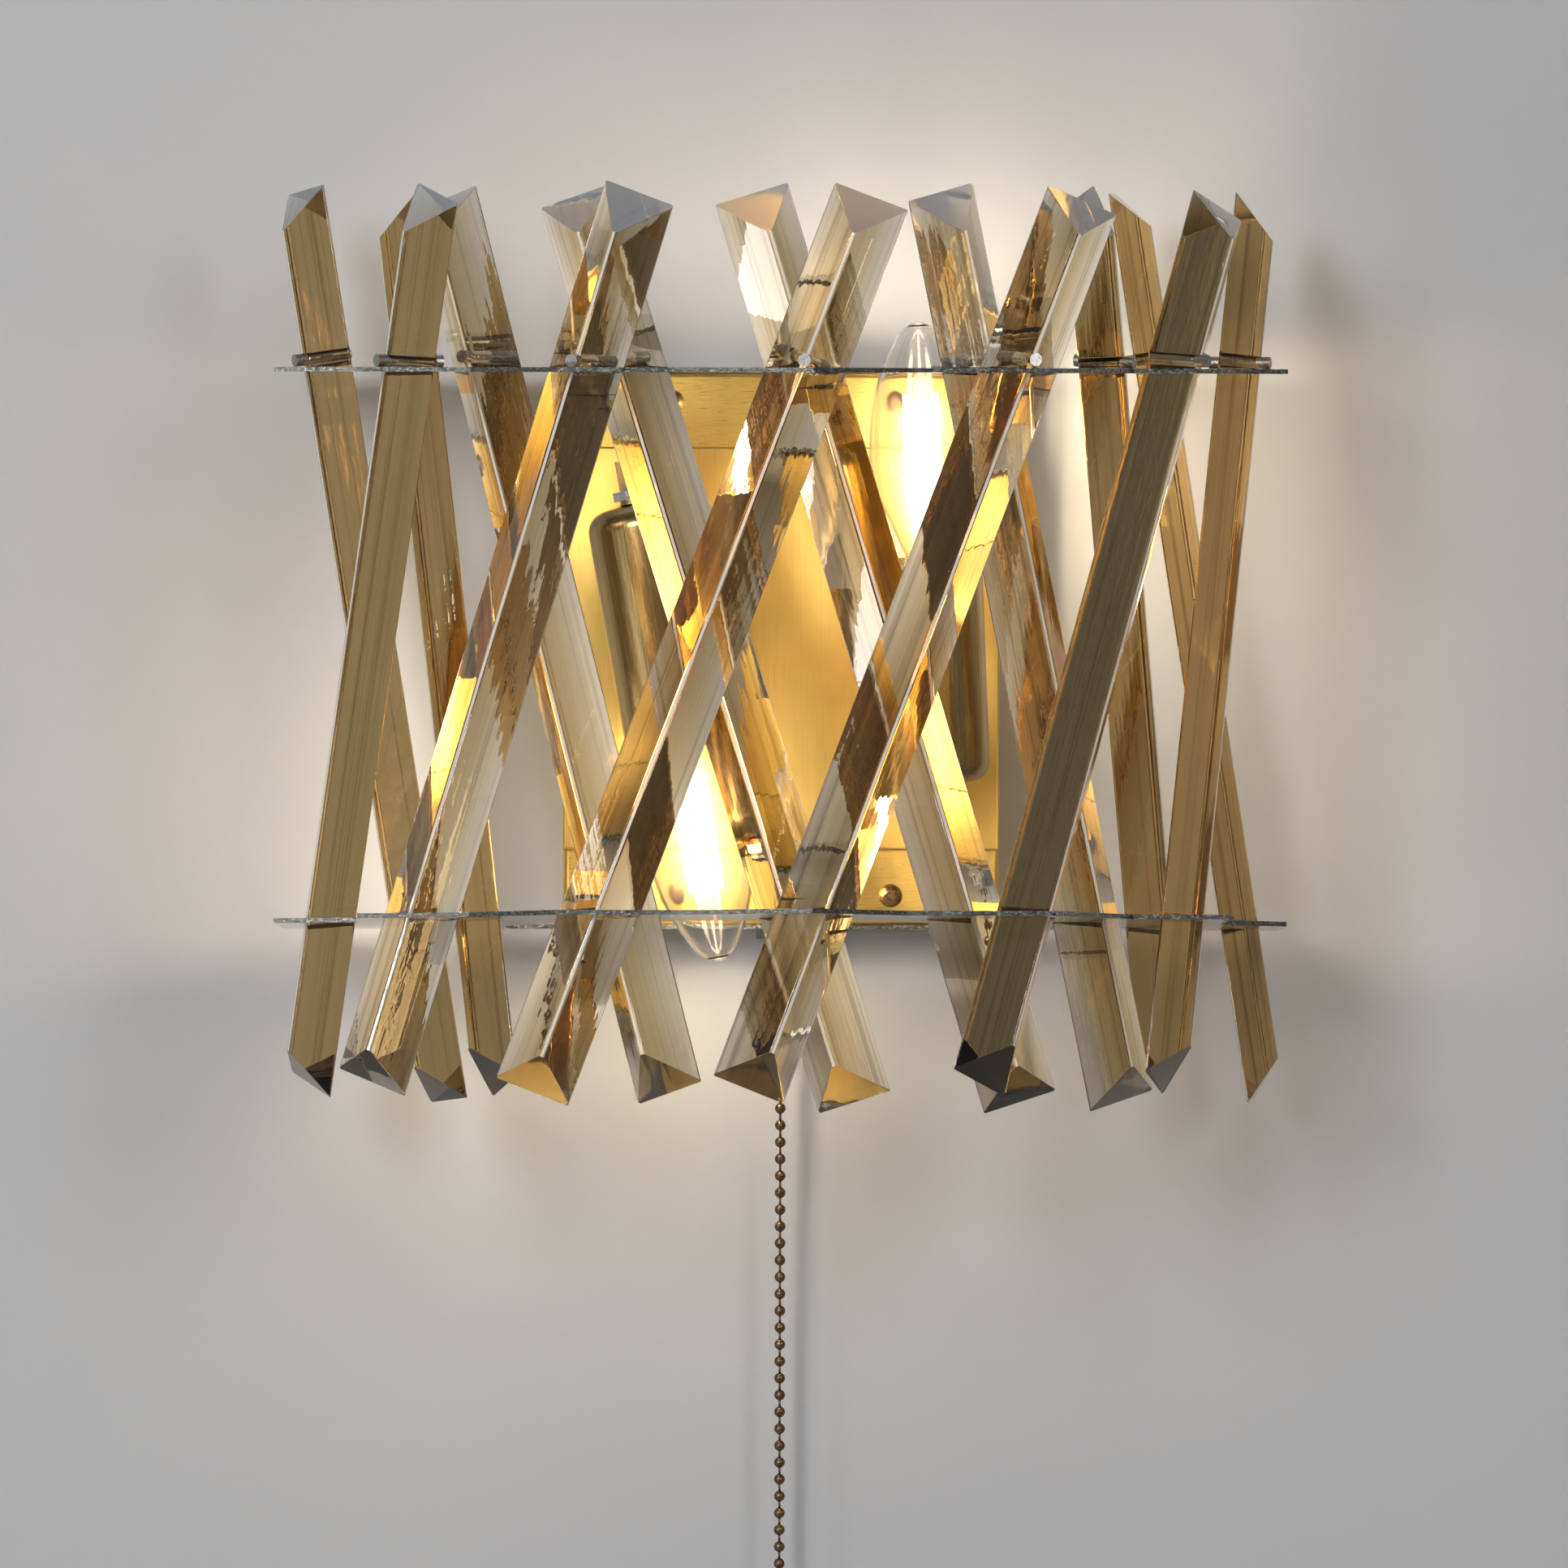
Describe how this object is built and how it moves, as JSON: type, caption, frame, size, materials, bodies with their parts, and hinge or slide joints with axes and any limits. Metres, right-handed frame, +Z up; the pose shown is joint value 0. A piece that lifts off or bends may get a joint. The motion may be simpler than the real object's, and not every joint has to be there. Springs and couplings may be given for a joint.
{
  "type": "wall sconce",
  "caption": "Crystal wall sconce with stepped steel plates, a brass back pan, crossing rows of hanging smoky prisms, candle lamps and a bead pull chain.",
  "frame": {"origin": "middle of the two screw holes in the wall bracket, on the wall's face", "axes": "+Z up, -Y out of the wall towards the room, +X to the right as seen from the room"},
  "size_m": [0.327, 0.2159, 0.4853],
  "materials": {
    "crystal": "polished smoky amber crystal",
    "pin_steel": "bright drawn",
    "plate_steel": "polished sheet, cut edges",
    "zinc_steel": "zinc plated",
    "pan_brass": "brushed along its width",
    "panel_brass": "brushed along its height",
    "screw_brass": "polished",
    "cup_brass": "brushed, antique brass",
    "arm_brass": "satin",
    "bracket_steel": "zinc plated",
    "holder_plastic": "moulded",
    "sleeve_brass": "stamped",
    "cap_nickel": "nickel plated",
    "bulb_glass": "clear",
    "filament": "coated filament rods",
    "lead_sleeve": "sleeved lead",
    "terminal_plastic": "moulded",
    "switch_plastic": "moulded",
    "chain_bronze": "antique bronze"
  },
  "bodies": {
    "fixture": {"back_pan": "pan_brass", "contact_sleeves": "sleeve_brass", "lamp_bracket_screws": "screw_brass", "lamp_leads": "lead_sleeve", "lamp_nipples": "zinc_steel", "lamp_nuts": "zinc_steel", "lamp_panel": "panel_brass", "left_cup": "cup_brass", "left_holder": "holder_plastic", "left_lamp_bracket": "arm_brass", "lower_plate": "plate_steel", "pan_screws": "screw_brass", "plate_screws": "zinc_steel", "right_cup": "cup_brass", "right_holder": "holder_plastic", "right_lamp_bracket": "arm_brass", "switch_body": "switch_plastic", "switch_nozzle": "zinc_steel", "switch_nut": "zinc_steel", "terminal_block": "terminal_plastic", "upper_plate": "plate_steel", "wall_bracket": "bracket_steel"},
    "front_crystal_1": {"front_crystal_1": "crystal", "front_pin_1": "pin_steel"},
    "front_crystal_2": {"front_crystal_2": "crystal", "front_pin_2": "pin_steel"},
    "front_crystal_3": {"front_crystal_3": "crystal", "front_pin_3": "pin_steel"},
    "front_crystal_4": {"front_crystal_4": "crystal", "front_pin_4": "pin_steel"},
    "front_crystal_5": {"front_crystal_5": "crystal", "front_pin_5": "pin_steel"},
    "front_crystal_6": {"front_crystal_6": "crystal", "front_pin_6": "pin_steel"},
    "inner_crystal_1": {"inner_crystal_1": "crystal", "inner_pin_1": "pin_steel"},
    "inner_crystal_2": {"inner_crystal_2": "crystal", "inner_pin_2": "pin_steel"},
    "inner_crystal_3": {"inner_crystal_3": "crystal", "inner_pin_3": "pin_steel"},
    "inner_crystal_4": {"inner_crystal_4": "crystal", "inner_pin_4": "pin_steel"},
    "inner_crystal_5": {"inner_crystal_5": "crystal", "inner_pin_5": "pin_steel"},
    "inner_crystal_6": {"inner_crystal_6": "crystal", "inner_pin_6": "pin_steel"},
    "left_end_crystal": {"left_end_crystal": "crystal", "left_end_pin": "pin_steel"},
    "right_end_crystal": {"right_end_crystal": "crystal", "right_end_pin": "pin_steel"},
    "left_bulb": {"left_bulb_cap": "cap_nickel", "left_bulb_glass": "bulb_glass", "left_bulb_filament": "filament"},
    "right_bulb": {"right_bulb_cap": "cap_nickel", "right_bulb_glass": "bulb_glass", "right_bulb_filament": "filament"},
    "pull_switch": {"switch_plunger": "chain_bronze", "pull_chain": "chain_bronze", "chain_knob": "chain_bronze"}
  },
  "joints": [
    {"name": "front_lift_1", "type": "slide", "parent": "fixture", "child": "front_crystal_1", "axis": [0.1438, -0.2788, 0.9495], "range_m": [0, 0.245]},
    {"name": "front_lift_2", "type": "slide", "parent": "fixture", "child": "front_crystal_2", "axis": [0.2853, -0.2189, 0.9331], "range_m": [0, 0.245]},
    {"name": "front_lift_3", "type": "slide", "parent": "fixture", "child": "front_crystal_3", "axis": [0.3524, -0.0612, 0.9339], "range_m": [0, 0.245]},
    {"name": "front_lift_4", "type": "slide", "parent": "fixture", "child": "front_crystal_4", "axis": [0.3477, 0.1086, 0.9313], "range_m": [0, 0.245]},
    {"name": "front_lift_5", "type": "slide", "parent": "fixture", "child": "front_crystal_5", "axis": [0.2576, 0.2585, 0.931], "range_m": [0, 0.245]},
    {"name": "front_lift_6", "type": "slide", "parent": "fixture", "child": "front_crystal_6", "axis": [0.1071, 0.3076, 0.9455], "range_m": [0, 0.102]},
    {"name": "inner_lift_1", "type": "slide", "parent": "fixture", "child": "inner_crystal_1", "axis": [-0.117, 0.2824, 0.9521], "range_m": [0, 0.114]},
    {"name": "inner_lift_2", "type": "slide", "parent": "fixture", "child": "inner_crystal_2", "axis": [-0.2446, 0.1949, 0.9498], "range_m": [0, 0.245]},
    {"name": "inner_lift_3", "type": "slide", "parent": "fixture", "child": "inner_crystal_3", "axis": [-0.2958, 0.0578, 0.9535], "range_m": [0, 0.245]},
    {"name": "inner_lift_4", "type": "slide", "parent": "fixture", "child": "inner_crystal_4", "axis": [-0.2858, -0.0841, 0.9546], "range_m": [0, 0.245]},
    {"name": "inner_lift_5", "type": "slide", "parent": "fixture", "child": "inner_crystal_5", "axis": [-0.1993, -0.1872, 0.9619], "range_m": [0, 0.245]},
    {"name": "inner_lift_6", "type": "slide", "parent": "fixture", "child": "inner_crystal_6", "axis": [-0.0925, -0.3215, 0.9424], "range_m": [0, 0.245]},
    {"name": "left_end_lift", "type": "slide", "parent": "fixture", "child": "left_end_crystal", "axis": [-0.1582, 0.0096, 0.9874], "range_m": [0, 0.245]},
    {"name": "right_end_lift", "type": "slide", "parent": "fixture", "child": "right_end_crystal", "axis": [-0.1543, -0.0197, 0.9878], "range_m": [0, 0.245]},
    {"name": "left_bulb_out", "type": "slide", "parent": "fixture", "child": "left_bulb", "axis": [0.1736, 0, -0.9848], "range_m": [0, 0.03]},
    {"name": "right_bulb_out", "type": "slide", "parent": "fixture", "child": "right_bulb", "axis": [-0.0401, 0, 0.9992], "range_m": [0, 0.03]},
    {"name": "chain_pull", "type": "slide", "parent": "fixture", "child": "pull_switch", "axis": [0, 0, -1], "range_m": [0, 0.008], "stiffness_N_per_m": 400, "springref_m": -0.002}
  ]
}
